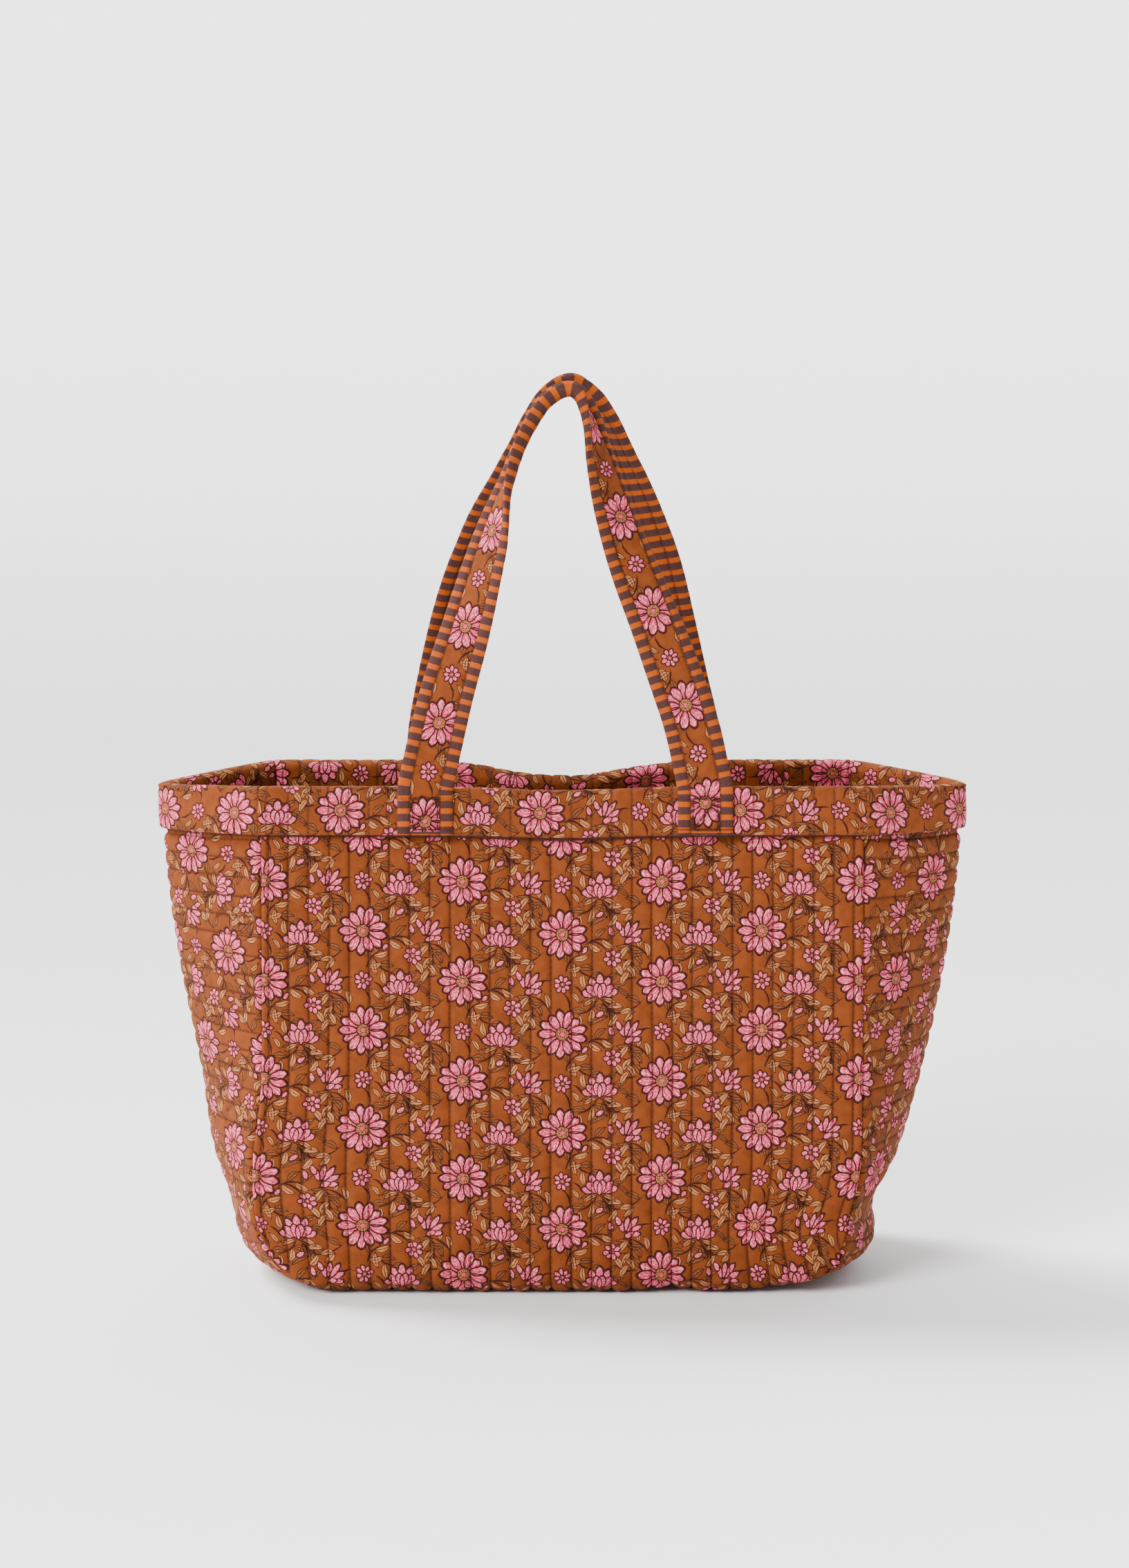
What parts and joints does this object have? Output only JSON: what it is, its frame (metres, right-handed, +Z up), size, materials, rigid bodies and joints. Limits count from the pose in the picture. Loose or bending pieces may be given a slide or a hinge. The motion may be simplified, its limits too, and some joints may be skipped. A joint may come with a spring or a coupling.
{
  "type": "quilted knitting bag",
  "caption": "Quilted cotton tote for knitting projects, with a deep U-shaped gusset, a padded rim band and two long bound strap handles that fold down over its sides.",
  "frame": {"origin": "centre of the bag on the ground it stands on", "axes": "+Z up to the handles, +X along the width of the rim, front panel towards -Y"},
  "size_m": [0.6002, 0.1948, 0.6655],
  "materials": {
    "print": "matte cotton, printed with pink and white flowers, tan leaves and dark vines on an orange-brown ground",
    "stripe": "matte cotton, woven in even orange and aubergine stripes",
    "lining": "matte cotton, woven in even orange and aubergine stripes",
    "wadding": "undyed matte cotton wadding",
    "thread": "dull dark brown sewing thread"
  },
  "bodies": {
    "bag": {"back_left_tab_binding": "stripe", "back_left_tab_core": "print", "back_left_tab_stitching": "thread", "back_panel_lining": "lining", "back_panel_print": "print", "back_panel_wadding": "wadding", "back_right_tab_binding": "stripe", "back_right_tab_core": "print", "back_right_tab_stitching": "thread", "back_seam_binding": "stripe", "base_lining": "lining", "base_print": "print", "base_wadding": "wadding", "front_left_tab_binding": "stripe", "front_left_tab_core": "print", "front_left_tab_stitching": "thread", "front_panel_lining": "lining", "front_panel_print": "print", "front_panel_wadding": "wadding", "front_right_tab_binding": "stripe", "front_right_tab_core": "print", "front_right_tab_stitching": "thread", "front_seam_binding": "stripe", "left_gusset_lining": "lining", "left_gusset_print": "print", "left_gusset_wadding": "wadding", "right_gusset_lining": "lining", "right_gusset_print": "print", "right_gusset_wadding": "wadding", "rim_band_back": "print", "rim_band_front": "print", "rim_band_left": "print", "rim_band_right": "print"},
    "front_handle": {"front_handle_binding": "stripe", "front_handle_core": "print"},
    "back_handle": {"back_handle_binding": "stripe", "back_handle_core": "print"}
  },
  "joints": [
    {"name": "front_handle_hinge", "type": "hinge", "parent": "bag", "child": "front_handle", "pos_m": [0, -0.0747, 0.3733], "axis": [1, 0, 0], "range_deg": [0, 172]},
    {"name": "back_handle_hinge", "type": "hinge", "parent": "bag", "child": "back_handle", "pos_m": [0, 0.0742, 0.3733], "axis": [-1, 0, 0], "range_deg": [0, 172]}
  ]
}
